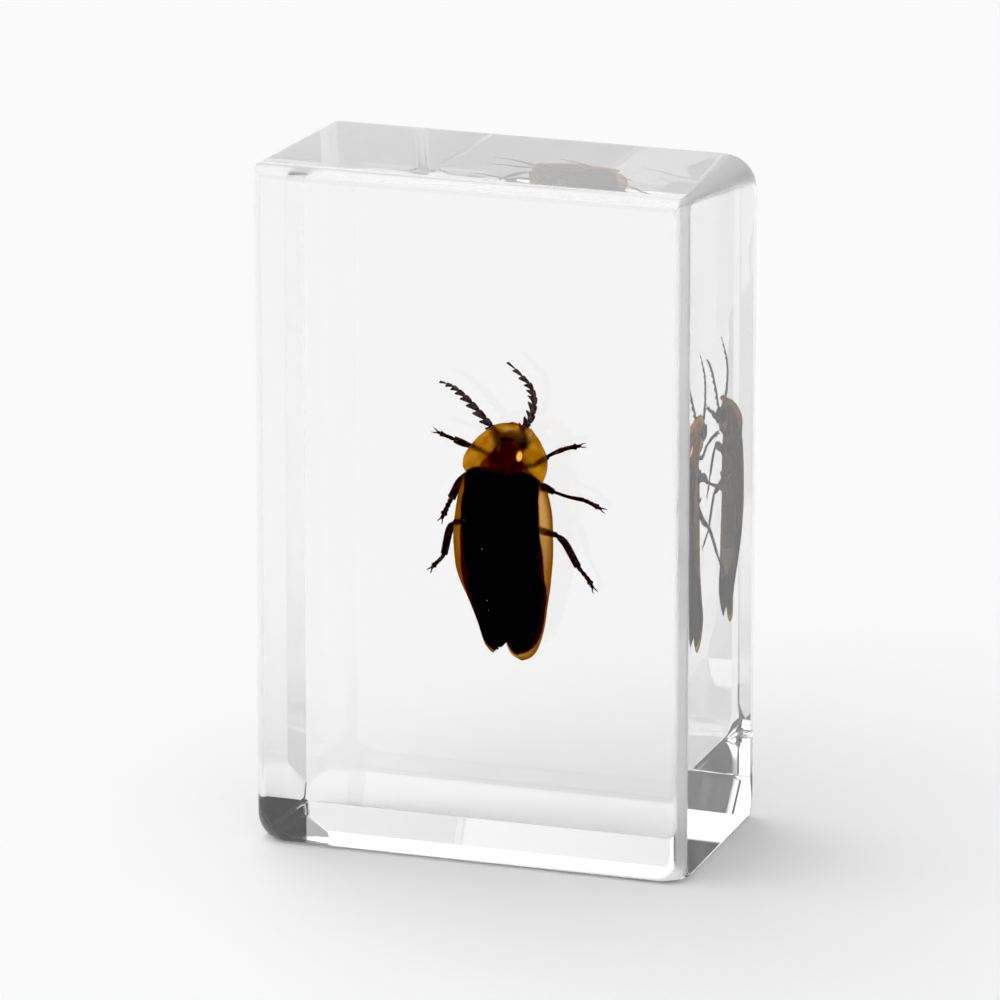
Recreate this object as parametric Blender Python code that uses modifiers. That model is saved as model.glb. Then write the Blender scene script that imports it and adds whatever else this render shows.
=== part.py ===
"""A firefly cast in a block of clear resin, standing upright on its narrow end.

The block is poured in two layers round the dried insect, so it is built as two halves that meet on the
pour line, each with its share of the pocket that the insect fills. X runs across the block, Y from its
front face (negative) to its back, Z up. The origin is the middle of the base. The insect hangs head up
with its back to the front face. All sizes are in millimetres and become metres when a mesh is placed.
"""

import math

import bmesh
import bpy
import numpy as np

MM = 0.001
MERGE_DISTANCE = 0.004     # millimetres within which two corners are one

# The block
BLOCK_WIDTH = 28.25
BLOCK_DEPTH = 15.8
BLOCK_HEIGHT = 44.0
DEPTH_EDGE_RADIUS = 1.7    # the four edges that run from front to back
FRONT_FILLET = 0.88        # round the front face
BACK_FILLET = 1.5          # round the back face, which lay in the mould
SIDE_DRAFT = 0.2           # how far each side leans in by the back
TOP_FALL = 0.7             # how far the top falls by the back
POUR_LINE_Y = 4.6          # where the two layers of resin meet
GAP = 0.3                  # kept between neighbouring solids
POCKET_CLEARANCE = 0.42    # from the insect to the resin round it

# The insect: heights up the block of its main landmarks
SPINE_X = 0.13
PRONOTUM_FRONT_Z = 26.5
PRONOTUM_BASE_Z = 23.35
SHOULDER_Z = 23.75
BODY_FRONT_Z = 25.7
ABDOMEN_TIP_Z = 14.4
ELYTRA_TIP_Z = 11.3

# How deep in the block the side edges of the insect lie, by height
EDGE_DEPTH = [(10, 4.3), (11.3, 4.35), (13.3, 4.7), (15.2, 4.1), (17.2, 3.55), (19.5, 3.3),
              (24.2, 3.3), (25.2, 3.75), (26.0, 4.6), (26.5, 5.45), (27.5, 5.6)]
CROWN_HEIGHT = 1.15        # how far the wing cases bulge forward of their edges
EDGE_LIP = 0.1             # how far the rim of each wing case turns forward
SEAM_DIP = 0.12            # how far the wing cases sink in at the seam between them
SHELL_THICKNESS = 0.22
BELLY_PLATES = 7
PLATE_STEP = 0.06          # how far each belly plate stands over the next

# Wing cases: outer and inner edge, as x at fractions of the length from shoulder to tip
RIGHT_OUTER = [(0, 1.3), (0.012, 2.1), (0.04, 2.6), (0.1, 3.12), (0.25, 3.44), (0.38, 3.47), (0.55, 3.28),
               (0.7, 2.93), (0.84, 2.5), (0.92, 2.2), (0.965, 1.87), (0.988, 1.56), (1, 1.2)]
RIGHT_INNER = [(0, 1.3), (0.015, 0.75), (0.06, 0.06), (0.1, 0.0), (0.7, 0.0), (0.8, 0.06), (0.9, 0.2),
               (0.96, 0.46), (0.988, 0.8), (1, 1.2)]
LEFT_OUTER = [(0, -1.5), (0.012, -2.1), (0.05, -2.45), (0.2, -2.92), (0.37, -3.15), (0.52, -3.07),
              (0.6, -2.87), (0.72, -2.28), (0.86, -1.72), (0.95, -1.22), (0.985, -0.92), (1, -0.62)]
LEFT_INNER = [(0, -1.5), (0.015, -0.75), (0.06, 0.06), (0.1, 0.12), (0.7, 0.12), (0.8, 0.02),
              (0.96, -0.16), (0.99, -0.35), (1, -0.62)]
LEFT_TIP_Z = 11.6

# Antennae and legs: joints from the body outwards, as (x, y, z, radius)
RIGHT_ANTENNA = [(0.75, 5.75, 25.75), (0.98, 5.7, 26.15), (1.56, 5.6, 27.03), (1.75, 5.55, 28.13),
                 (1.53, 5.6, 28.94), (0.83, 5.65, 29.7), (-0.04, 5.66, 30.46)]
LEFT_ANTENNA = [(-0.5, 5.75, 25.55), (-0.78, 5.7, 25.85), (-1.36, 5.6, 26.5), (-2.2, 5.55, 27.4),
                (-3.0, 5.55, 28.14), (-3.7, 5.56, 28.6), (-4.51, 5.56, 28.84)]
ANTENNA_JOINTS = 11
ANTENNA_WIDTH = 0.27
ANTENNA_TOOTH = 0.34
ANTENNA_THICKNESS = 0.2
EYE_RADIUS = 0.56
EYE_SPREAD = 0.72          # from the spine to the middle of each eye
RIGHT_LEGS = {
    "fore": [(0.5, 4.3, 23.9, 0.3), (1.66, 4.95, 24.0, 0.24), (2.7, 5.05, 24.67, 0.2),
             (3.61, 5.6, 25.12, 0.15), (4.0, 5.85, 25.24, 0.11), (4.61, 6.2, 25.34, 0.13),
             (5.09, 6.4, 25.29, 0.06)],
    "middle": [(0.6, 4.2, 22.6, 0.32), (2.2, 4.95, 22.7, 0.22), (3.15, 5.0, 22.41, 0.17),
               (4.0, 5.6, 22.07, 0.13), (4.92, 6.0, 21.89, 0.1), (5.53, 6.5, 21.52, 0.12),
               (6.31, 6.8, 20.98, 0.06)],
    "hind": [(0.6, 4.1, 20.7, 0.34), (2.26, 4.8, 19.87, 0.22), (3.4, 4.75, 19.66, 0.16),
             (3.78, 5.15, 19.2, 0.24), (4.5, 6.1, 17.5, 0.22), (4.75, 6.25, 17.15, 0.12),
             (5.15, 6.5, 16.69, 0.12), (5.67, 6.8, 15.59, 0.06)],
}
LEFT_LEGS = {
    "fore": [(-0.4, 4.3, 24.0, 0.3), (-2.23, 4.95, 24.88, 0.2), (-3.0, 5.02, 25.08, 0.19),
             (-3.6, 5.1, 25.25, 0.12), (-4.3, 5.2, 25.45, 0.12), (-4.92, 5.3, 25.65, 0.06)],
    "middle": [(-0.5, 4.2, 22.7, 0.32), (-2.63, 4.9, 23.1, 0.24), (-3.15, 5.05, 22.4, 0.25),
               (-3.7, 5.2, 21.35, 0.2), (-3.85, 5.25, 21.0, 0.12), (-4.2, 5.3, 20.3, 0.12),
               (-4.48, 5.4, 19.67, 0.06)],
    "hind": [(-0.5, 4.1, 20.8, 0.34), (-2.5, 4.65, 20.14, 0.22), (-3.45, 4.5, 19.85, 0.16),
             (-3.68, 4.65, 19.4, 0.22), (-4.17, 5.2, 17.65, 0.2), (-4.35, 5.3, 17.35, 0.12),
             (-4.9, 5.55, 16.8, 0.12), (-5.43, 5.8, 16.23, 0.06)],
}


def clear_scene():
    """Start from an empty file."""
    for old in list(bpy.data.objects):
        bpy.data.objects.remove(old, do_unlink=True)


def collection(name):
    made = bpy.data.collections.new(name)
    bpy.context.scene.collection.children.link(made)
    return made


def material(name, colour, roughness, transmission=0.0, ior=1.5):
    made = bpy.data.materials.new(name)
    made.use_nodes = True
    shader = made.node_tree.nodes["Principled BSDF"]
    shader.inputs["Base Color"].default_value = (*colour, 1.0)
    shader.inputs["Roughness"].default_value = roughness
    shader.inputs["Metallic"].default_value = 0.0
    shader.inputs["Transmission Weight"].default_value = transmission
    shader.inputs["IOR"].default_value = ior
    return made


def through(keys, at):
    """The value at each place of a smooth curve that passes through the (place, value) keys."""
    place, value = np.array(keys, float).T
    slope = np.diff(value) / np.diff(place)
    tangent = np.zeros(len(place))
    tangent[0], tangent[-1] = slope[0], slope[-1]
    for k in range(1, len(place) - 1):
        if slope[k - 1] * slope[k] > 0:
            tangent[k] = 2 * slope[k - 1] * slope[k] / (slope[k - 1] + slope[k])
    k = np.clip(np.searchsorted(place, at) - 1, 0, len(place) - 2)
    span = place[k + 1] - place[k]
    s = np.clip((at - place[k]) / span, 0, 1)
    return ((1 + 2 * s) * (1 - s) ** 2 * value[k] + s * (1 - s) ** 2 * span * tangent[k]
            + s * s * (3 - 2 * s) * value[k + 1] + s * s * (s - 1) * span * tangent[k + 1])


def edge_depth(z):
    """How deep in the block the insect's side edges lie at a height."""
    return float(through(EDGE_DEPTH, z))


def new_object(name, mesh, home):
    made = bpy.data.objects.new(name, mesh)
    home.objects.link(made)
    return made


def from_bmesh(name, bm, home):
    """An object from a bmesh in millimetres, with doubles merged and faces turned out."""
    bmesh.ops.remove_doubles(bm, verts=bm.verts, dist=MERGE_DISTANCE)
    bmesh.ops.recalc_face_normals(bm, faces=bm.faces)
    bmesh.ops.scale(bm, vec=(MM, MM, MM), verts=bm.verts)
    mesh = bpy.data.meshes.new(name)
    bm.to_mesh(mesh)
    bm.free()
    return new_object(name, mesh, home)


def apply_modifiers(thing):
    """Replace an object's mesh by its evaluated one."""
    depsgraph = bpy.context.evaluated_depsgraph_get()
    solid = bpy.data.meshes.new_from_object(thing.evaluated_get(depsgraph))
    thing.modifiers.clear()
    thing.data = solid
    return thing


def combine(base, other, operation="UNION"):
    """Join another solid to a base one, or cut it away, and remove it."""
    step = base.modifiers.new(operation, "BOOLEAN")
    step.operation = operation
    step.solver = "EXACT"
    step.object = other
    apply_modifiers(base)
    bpy.data.objects.remove(other, do_unlink=True)
    return base


def cutter(thing):
    """Mark an object as a cutter, which shapes others and is no part itself."""
    thing.hide_render = True
    thing.display_type = "WIRE"
    return thing


# ---------------------------------------------------------------- shapes shared by the insect and its pocket


def blob(name, home, around, along, place):
    """A closed round body: each point of a sphere goes to place(t, across, out).

    t runs from 0 at one pole to 1 at the other, and across, out are the ring's unit circle.
    """
    bm = bmesh.new()
    bmesh.ops.create_uvsphere(bm, u_segments=around, v_segments=along, radius=1.0)
    for v in bm.verts:
        t = 1 - math.acos(max(-1.0, min(1.0, v.co.z))) / math.pi
        ring = math.hypot(v.co.x, v.co.y)
        across, out = (v.co.x / ring, v.co.y / ring) if ring > 1e-6 else (0.0, 0.0)
        v.co = place(t, across, out)
    return from_bmesh(name, bm, home)


def sheet(name, home, columns, rows, place, thickness):
    """A thin shell: each point u, v of a unit grid goes to place(u, v), half the wall on either side."""
    bm = bmesh.new()
    bmesh.ops.create_grid(bm, x_segments=columns, y_segments=rows, size=0.5)
    for v in bm.verts:
        v.co = place(v.co.x + 0.5, v.co.y + 0.5)
    made = from_bmesh(name, bm, home)
    wall = made.modifiers.new("Wall", "SOLIDIFY")
    wall.thickness = thickness * MM
    wall.offset = 0.0
    return apply_modifiers(made)


def tube(name, home, points, radii, resolution):
    """A limb: a tube through the points, with its own radius at each and closed ends."""
    curve = bpy.data.curves.new(name, "CURVE")
    curve.dimensions = "3D"
    curve.bevel_depth = MM
    curve.bevel_resolution = resolution
    curve.use_fill_caps = True
    spline = curve.splines.new("POLY")
    spline.points.add(len(points) - 1)
    for target, point, radius in zip(spline.points, points, radii):
        target.co = (point[0] * MM, point[1] * MM, point[2] * MM, 1.0)
        target.radius = radius
    source = new_object(name + "_curve", curve, home)
    depsgraph = bpy.context.evaluated_depsgraph_get()
    mesh = bpy.data.meshes.new_from_object(source.evaluated_get(depsgraph))
    bpy.data.objects.remove(source, do_unlink=True)
    bm = bmesh.new()
    bm.from_mesh(mesh)
    bmesh.ops.remove_doubles(bm, verts=bm.verts, dist=MERGE_DISTANCE * MM)
    bm.to_mesh(mesh)
    bm.free()
    return new_object(name, mesh, home)


# ---------------------------------------------------------------- the firefly


def trunk(home):
    """Thorax and abdomen, flat on the back, with the belly plates stepped."""
    waist = 0.43           # where the thorax ends and the plates begin, as a fraction of the length
    half_width = [(0, 0.0), (0.02, 0.65), (0.07, 1.0), (0.14, 1.55), (0.25, 2.25), (0.4, 2.45),
                  (0.63, 2.45), (0.82, 2.0), (0.94, 1.2), (1, 0.0)]
    belly = [(0, 0.0), (0.02, 0.8), (0.07, 1.3), (0.18, 1.5), (0.38, 1.45), (0.52, 1.15), (0.82, 0.95),
             (1, 0.0)]
    back = [(0, 0.0), (0.02, 0.3), (0.1, 0.5), (0.2, 0.6), (0.32, 1.0), (0.5, 0.9), (0.82, 0.7), (1, 0.0)]

    def place(t, across, out):
        z = BODY_FRONT_Z + (ABDOMEN_TIP_Z - BODY_FRONT_Z) * t
        plate = (t - waist) / (1 - waist) * BELLY_PLATES
        step = PLATE_STEP * (plate % 1.0) if waist < t < 1 else 0.0
        wide = through(half_width, t) + step
        deep = through(belly, t) + step if out > 0 else through(back, t)
        return (SPINE_X + wide * across, edge_depth(z) + SHELL_THICKNESS / 2 + deep * out, z)

    return blob("trunk", home, 18, 30, place)


def wing_case(name, home, outer, inner, tip_z):
    """One wing case: a bulged sheet from its outer edge, which turns forward, to the sunk seam."""
    front_rise, tail_fall, rim, seam = 0.09, 0.55, 0.2, 0.12

    def place(u, v):
        t = 0.5 - 0.5 * math.cos(math.pi * v)
        z = SHOULDER_Z + (tip_z - SHOULDER_Z) * t
        x = through(inner, t) + (through(outer, t) - through(inner, t)) * u
        ends = min(1.0, t / front_rise) ** 0.6 * min(1.0, (1 - t) / tail_fall) ** 0.8
        bulge = CROWN_HEIGHT * ends * (1 - u ** 2.6)
        lip = EDGE_LIP * ends * max(0.0, u - 1 + rim) / rim
        dip = SEAM_DIP * max(0.0, 1 - u / seam)
        return (x, edge_depth(z) - bulge - lip + dip, z)

    return sheet(name, home, 9, 18, place, SHELL_THICKNESS)


def pronotum(home):
    """The shield over the head: a half disc that droops to its front edge."""
    half_width = [(0, 2.35), (0.1, 2.66), (0.25, 2.82), (0.45, 2.62), (0.65, 2.2), (0.82, 1.6),
                  (0.94, 0.92), (1, 0.0)]
    shift, skew, base_sag = 0.1, 0.045, 0.35
    base_tuck, tuck_run = 0.6, 2.5

    def place(u, v):
        t = math.sin(0.5 * math.pi * v)
        side = 2 * u - 1
        z = PRONOTUM_BASE_Z + (PRONOTUM_FRONT_Z - PRONOTUM_BASE_Z) * t
        z -= base_sag * (1 - t) ** 3 * (1 - side ** 2) + skew * (1 - t) * side
        x = SPINE_X + shift + through(half_width, t) * side
        tuck = min(1.0, base_tuck + tuck_run * t)
        dome = CROWN_HEIGHT * tuck * (1 - abs(side) ** 2.2) * (1 - t) ** 0.7
        return (x, edge_depth(z) - dome, z)

    return sheet("pronotum", home, 15, 10, place, SHELL_THICKNESS)


def head(home):
    """The head, tucked under the shield, with the two large eyes."""
    half_width, half_depth = 0.9, 0.75
    middle_x = SPINE_X + 0.06
    nape, length = (5.25, 24.1), (0.3, 2.05)       # in depth and height
    eye_depth, eye_z = 5.85, 25.35

    def skull(t, across, out):
        swell = math.sin(math.pi * t) ** 0.7
        return (middle_x + half_width * swell * across, nape[0] + length[0] * t + half_depth * swell * out,
                nape[1] + length[1] * t)

    made = blob("head", home, 12, 8, skull)
    for side in (-1, 1):

        def eye(t, across, out, side=side):
            ring = EYE_RADIUS * math.sin(math.pi * t)
            return (middle_x + side * EYE_SPREAD + ring * across, eye_depth + ring * out,
                    eye_z - EYE_RADIUS * math.cos(math.pi * t))

        combine(made, blob("eye", home, 10, 8, eye))
    return made


def antenna(name, home, joints, tooth_side):
    """A flat antenna of eleven joints, each drawn out into a tooth on one side."""
    lean = 0.5             # how far each tooth leans on towards the tip, as a fraction of its length
    keys = np.array(joints)
    stations = np.linspace(0, 1, len(keys))

    def centre(t):
        return np.array([through(list(zip(stations, keys[:, axis])), t) for axis in range(3)])

    def place(u, t):
        joint = t * ANTENNA_JOINTS
        within = joint % 1.0 if t < 1 else 1.0
        along = centre(min(1, t + 0.01)) - centre(max(0, t - 0.01))
        along /= np.linalg.norm(along)
        aside = np.array([along[2], 0.0, -along[0]]) * tooth_side
        taper = 1 - 0.75 * t ** 3
        tooth = ANTENNA_TOOTH * taper * within if joint >= 1 else 0.0
        stem = ANTENNA_WIDTH / 2 * taper
        spot = centre(t) + along * lean * tooth * u
        return tuple(spot + aside * ((stem + tooth) * u - stem * (1 - u)))

    return sheet(name, home, 1, ANTENNA_JOINTS * 4, place, ANTENNA_THICKNESS)


def leg(name, home, joints):
    """A leg from hip to claw."""
    return tube(name, home, [joint[:3] for joint in joints], [joint[3] for joint in joints], 2)


def firefly(home, finish):
    """The whole insect as one solid."""
    made = trunk(home)
    made.name = "firefly"
    combine(made, head(home))
    combine(made, pronotum(home))
    combine(made, wing_case("right_case", home, RIGHT_OUTER, RIGHT_INNER, ELYTRA_TIP_Z))
    combine(made, wing_case("left_case", home, LEFT_OUTER, LEFT_INNER, LEFT_TIP_Z))
    combine(made, antenna("right_antenna", home, RIGHT_ANTENNA, -1))
    combine(made, antenna("left_antenna", home, LEFT_ANTENNA, -1))
    for legs in (RIGHT_LEGS, LEFT_LEGS):
        for joints in legs.values():
            combine(made, leg("leg", home, joints))
    made.data.materials.clear()
    made.data.materials.append(finish)
    return made


# ---------------------------------------------------------------- the resin


def limb_room(name, home, joints, radius):
    """The room round a limb: a six-sided tube that runs on past its tip."""
    points = [np.array(joint[:3]) for joint in joints]
    last = points[-1] - points[-2]
    points[-1] = points[-1] + last / np.linalg.norm(last) * POCKET_CLEARANCE
    return tube(name, home, points, [radius] * len(points), 1)


def pocket(home):
    """The room that the insect takes in the resin: its plain forms, grown by the clearance."""
    half_width = [(0, 0.0), (0.02, 1.8), (0.08, 2.85), (0.16, 3.4), (0.3, 3.6), (0.45, 3.85),
                  (0.6, 3.8), (0.75, 3.4), (0.88, 2.8), (0.96, 2.2), (1, 0.0)]
    top_z = PRONOTUM_FRONT_Z + 1.5 * POCKET_CLEARANCE
    low_z = ELYTRA_TIP_Z - 2.5 * POCKET_CLEARANCE
    shift, tail_shift = 0.12, 0.25
    squareness = 0.8       # below 1, a ring is fuller than an ellipse
    front = [(0, 0.0), (0.04, 1.15), (0.1, 1.6), (0.2, 2.0), (0.6, 1.85), (0.9, 1.15), (0.97, 0.8),
             (1, 0.0)]
    rear = [(0, 0.0), (0.04, 1.95), (0.1, 3.15), (0.16, 3.0), (0.24, 2.35), (0.5, 2.1), (0.75, 1.5),
            (0.97, 0.9), (1, 0.0)]

    def place(t, across, out):
        z = top_z + (low_z - top_z) * t
        deep = through(rear if out > 0 else front, t)
        middle = SPINE_X + shift + tail_shift * t ** 3
        wide, thick = (math.copysign(abs(part) ** squareness, part) for part in (across, out))
        return (middle + through(half_width, t) * wide, edge_depth(z) + deep * thick, z)

    made = blob("pocket", home, 20, 18, place)
    antenna_room = ANTENNA_WIDTH / 2 + ANTENNA_TOOTH + POCKET_CLEARANCE
    for joints in (RIGHT_ANTENNA, LEFT_ANTENNA):
        combine(made, limb_room("antenna_room", home, joints, antenna_room))
    for legs in (RIGHT_LEGS, LEFT_LEGS):
        for joints in legs.values():
            thickest = max(joint[3] for joint in joints[1:])
            combine(made, limb_room("leg_room", home, joints, thickest + POCKET_CLEARANCE))
    return cutter(made)


def block(home):
    """The whole block: rounded on its four depth edges, then round its front and its back face."""
    bm = bmesh.new()
    bmesh.ops.create_cube(bm, size=1.0)
    bmesh.ops.scale(bm, vec=(BLOCK_WIDTH, BLOCK_DEPTH, BLOCK_HEIGHT), verts=bm.verts)
    bmesh.ops.translate(bm, vec=(0, 0, BLOCK_HEIGHT / 2), verts=bm.verts)

    def side_of(edge):
        return [round(v.co.y / (BLOCK_DEPTH / 2), 3) for v in edge.verts]

    def round_edges(edges, radius, segments):
        bmesh.ops.bevel(bm, geom=edges, offset=radius, offset_type="OFFSET", affect="EDGES",
                        segments=segments, profile=0.5, clamp_overlap=False)

    round_edges([e for e in bm.edges if set(side_of(e)) == {-1.0, 1.0}], DEPTH_EDGE_RADIUS, 6)
    round_edges([e for e in bm.edges if set(side_of(e)) == {-1.0}], FRONT_FILLET, 4)
    round_edges([e for e in bm.edges if set(side_of(e)) == {1.0}], BACK_FILLET, 5)
    for v in bm.verts:
        back = v.co.y / BLOCK_DEPTH + 0.5
        v.co.x *= 1 - back * SIDE_DRAFT / (BLOCK_WIDTH / 2)
        v.co.z *= 1 - back * TOP_FALL / BLOCK_HEIGHT
    return from_bmesh("block", bm, home)


def layer(name, home, from_y, to_y):
    """A slab wider and taller than the block, between two depths."""
    bm = bmesh.new()
    bmesh.ops.create_cube(bm, size=1.0)
    bmesh.ops.scale(bm, vec=(2 * BLOCK_WIDTH, to_y - from_y, 2 * BLOCK_HEIGHT), verts=bm.verts)
    bmesh.ops.translate(bm, vec=(0, (from_y + to_y) / 2, BLOCK_HEIGHT / 2), verts=bm.verts)
    return cutter(from_bmesh(name, bm, home))


def half(name, home, slab, hollow, finish):
    """One layer of the block, with its share of the pocket cut out."""
    made = block(home)
    made.name = name
    made.data.materials.append(finish)
    for operation, tool in (("INTERSECT", slab), ("DIFFERENCE", hollow)):
        step = made.modifiers.new(tool.name, "BOOLEAN")
        step.operation = operation
        step.solver = "EXACT"
        step.object = tool
    return made


def main():
    clear_scene()
    parts = collection("firefly_in_resin_block")
    cutters = collection("cutters")
    resin = material("clear_resin", (0.97, 0.98, 0.97), 0.03, transmission=1.0, ior=1.57)
    chitin = material("firefly_chitin", (0.06, 0.025, 0.012), 0.45)
    firefly(parts, chitin)
    hollow = pocket(cutters)
    front_layer = layer("front_layer", cutters, -BLOCK_DEPTH, POUR_LINE_Y - GAP / 2)
    back_layer = layer("back_layer", cutters, POUR_LINE_Y + GAP / 2, BLOCK_DEPTH)
    half("resin_front", parts, front_layer, hollow, resin)
    half("resin_back", parts, back_layer, hollow, resin)


main()
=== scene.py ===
"""A firefly cast in a clear resin block: the finished look of its plain solids.

X runs across the block, Y from its front face (negative) to its back, Z up, and the origin is the middle
of the base. Sizes are in millimetres: each mesh is scaled to metres as it is finished.
"""

import math

import bmesh
import bpy
import numpy as np
from mathutils import Matrix, Vector


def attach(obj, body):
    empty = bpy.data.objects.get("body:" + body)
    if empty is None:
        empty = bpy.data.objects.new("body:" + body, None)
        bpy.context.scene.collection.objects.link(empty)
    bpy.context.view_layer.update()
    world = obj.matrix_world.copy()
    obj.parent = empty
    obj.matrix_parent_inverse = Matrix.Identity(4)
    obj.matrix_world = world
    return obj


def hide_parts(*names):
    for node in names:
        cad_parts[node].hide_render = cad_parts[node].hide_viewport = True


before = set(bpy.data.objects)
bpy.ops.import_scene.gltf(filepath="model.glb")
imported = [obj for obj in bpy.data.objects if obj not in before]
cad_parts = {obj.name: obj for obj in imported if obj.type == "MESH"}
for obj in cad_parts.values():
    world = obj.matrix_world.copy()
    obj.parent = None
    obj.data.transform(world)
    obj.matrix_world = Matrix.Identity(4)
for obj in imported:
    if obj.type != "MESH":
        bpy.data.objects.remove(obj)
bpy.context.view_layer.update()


# -------- the clear casting
# One block of clear resin, poured round the insect, cut and polished to glass. Its back edges are planed
# off flat, the front ones only eased by hand, and the edges between are left nearly sharp but for the top
# right one. This one piece stands for both halves of the solid, and its hollow is full, as in the block.
MM = 0.001
BLOCK_WIDTH, BLOCK_DEPTH, BLOCK_HEIGHT = 28.246, 15.799, 43.994
SIDE_DRAFT, TOP_FALL = 0.2, 0.7
# Each edge round the front and the back, as stretches from the side inwards. A stretch goes from one slope
# to another, in degrees from that side: with the same slope twice it is flat and the third number is its
# length, otherwise it is an arc and that is its radius.
FRONT_EDGES = {"left": [(8, 84, 0.95)], "bottom": [(8, 84, 0.9)],
               "right": [(6, 27, 0.75), (27, 27, 0.62), (27, 86, 0.5)], "top": [(10, 86, 0.95)]}
BACK_EDGES = {"left": [(70, 70, 1.45), (70, 88, 0.4)], "bottom": [(68, 68, 2.2), (68, 88, 1.1)],
              "right": [(70, 70, 1.45), (70, 88, 0.4)], "top": [(3, 17, 4.0), (70, 70, 1.4), (70, 88, 0.4)]}
ARC_STEP = 6.5                  # degrees
# Each corner going round, as its sides, its rounding at the front and further back, and how far back
CORNERS = [("left", "bottom", 2.2, 0.3, 2.2), ("right", "bottom", 1.9, 0.3, 2.2),
           ("right", "top", 0.5, 2.1, 15.8), ("left", "top", 0.4, 0.4, 15.8)]
CORNER_STEPS, LEAST_RADIUS = 14, 0.05
CORNER_STATIONS = np.linspace(0.25, 2.2, 8)     # behind the front, where the corners' rounding changes
# The top right edge and the front right one are less well polished: hazy in the middle of their rounding,
# the front one also round the other front edges, ever more weakly towards the left
TOP_HAZE, TOP_SPREAD, FRONT_HAZE, LEFT_SHARE, HAZE_FADE = 1.0, 0.7, 0.75, 0.7, 0.3
HAZE_ROUGHNESS, HAZE_WHITE = 0.4, 0.9
CREASE = math.radians(15)       # edges that turn more than this are sharp
RESIN_IOR = 1.57
RESIN_TINT = (0.1, 0.1, 0.12, 1.0)
RESIN_ABSORPTION = 3.7          # per metre


def placed(name, data):
    """A new object at the origin of the scene."""
    made = bpy.data.objects.new(name, data)
    bpy.context.scene.collection.objects.link(made)
    return made


def finished(name, mesh, material):
    """A piece's object, its mesh scaled to metres."""
    mesh.transform(Matrix.Scale(MM, 4))
    mesh.materials.clear()
    mesh.materials.append(material)
    return placed(name, mesh)


def new_material(name, **values):
    """A Principled material with constant values on its sockets, and its node tree."""
    made = bpy.data.materials.new(name)
    made.use_nodes = True
    shader = made.node_tree.nodes["Principled BSDF"]
    for socket, value in values.items():
        shader.inputs[socket.replace("_", " ")].default_value = value
    return made


def add_node(tree, kind, inputs=(), **settings):
    """A node with its settings; inputs are (socket, value or the socket it is linked from)."""
    made = tree.nodes.new(kind)
    for setting, value in settings.items():
        setattr(made, setting, value)
    for socket, value in inputs:
        if isinstance(value, bpy.types.NodeSocket):
            tree.links.new(value, made.inputs[socket])
        else:
            made.inputs[socket].default_value = value
    return made


def loft(rings, flat_ends=False):
    """Points and faces of a closed body through rings of points, the ends flat or drawn to their middle."""
    rings = np.asarray(rings, float)
    rows, around = rings.shape[:2]
    points = rings.reshape(-1, 3).tolist()
    faces = []
    for row in range(rows - 1):
        for k in range(around):
            here, beside = row * around + k, row * around + (k + 1) % around
            faces.append((here, beside, beside + around, here + around))
    for row in (0, rows - 1):
        ring = [row * around + k for k in range(around)]
        if flat_ends:
            faces.append(tuple(ring))
        else:
            points.append(rings[row].mean(axis=0).tolist())
            faces += [(len(points) - 1, here, beside) for here, beside in zip(ring, ring[1:] + ring[:1])]
    return points, faces


def joined(name, shapes):
    """One mesh of several closed bodies, their faces turned out."""
    points, faces = [], []
    for shape_points, shape_faces in shapes:
        faces += [tuple(corner + len(points) for corner in face) for face in shape_faces]
        points += list(shape_points)
    mesh = bpy.data.meshes.new(name)
    mesh.from_pydata(points, [], faces)
    bm = bmesh.new()
    bm.from_mesh(mesh)
    bmesh.ops.recalc_face_normals(bm, faces=bm.faces)
    bm.to_mesh(mesh)
    bm.free()
    mesh.shade_smooth()
    return mesh


def keep_field(mesh, name, values):
    """A number at each point of a mesh, for its material to read."""
    mesh.attributes.new(name, "FLOAT", "POINT").data.foreach_set("value", np.asarray(values, np.float32))


def feed(material, socket, value):
    """Link a value that changes over the surface to a socket of the material's shader."""
    tree = material.node_tree
    tree.links.new(value, tree.nodes["Principled BSDF"].inputs[socket])


def field(tree, name):
    """The value of a mesh's own field in a material."""
    return add_node(tree, "ShaderNodeAttribute", attribute_name=name).outputs["Fac"]


def math_node(tree, operation, first, second, third=1.0):
    """The value of one sum, product or the like, in a material."""
    return add_node(tree, "ShaderNodeMath", [(0, first), (1, second), (2, third)],
                    operation=operation).outputs[0]


def edge_profile(stretches):
    """How far an eased edge has run in depth and cut into its side, from the side to the end face."""
    run, cut = [0.0], [0.0]
    for first, last, size in stretches:
        steps = max(1, math.ceil((last - first) / ARC_STEP))
        for step in range(steps):
            slope = math.radians(first + (last - first) * (step + 0.5) / steps)
            length = size if first == last else size * math.radians(last - first) / steps
            run.append(run[-1] + length * math.cos(slope))
            cut.append(cut[-1] + length * math.sin(slope))
    return np.array(run), np.array(cut)


def block_section(y, cuts):
    """One upright section of the block: a rectangle cut in by its eased edges, with rounded corners."""
    back = y / BLOCK_DEPTH + 0.5
    half = BLOCK_WIDTH / 2 - back * SIDE_DRAFT
    place = {"left": cuts["left"] - half, "right": half - cuts["right"], "bottom": cuts["bottom"],
             "top": BLOCK_HEIGHT - back * TOP_FALL - cuts["top"]}
    ring = []
    for order, (side, level, front_radius, back_radius, reach) in enumerate(CORNERS):
        share = min(1.0, (y + BLOCK_DEPTH / 2) / reach)
        radius = front_radius + (back_radius - front_radius) * share * share * (3 - 2 * share)
        radius = max(LEAST_RADIUS, radius - min(cuts[side], cuts[level]))
        middle_x = place[side] + (radius if side == "left" else -radius)
        middle_z = place[level] + (radius if level == "bottom" else -radius)
        for step in range(CORNER_STEPS + 1):
            turn = math.pi / 2 * (step / CORNER_STEPS + order + 2)
            ring.append((middle_x + radius * math.cos(turn), y, middle_z + radius * math.sin(turn)))
    return ring


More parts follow.
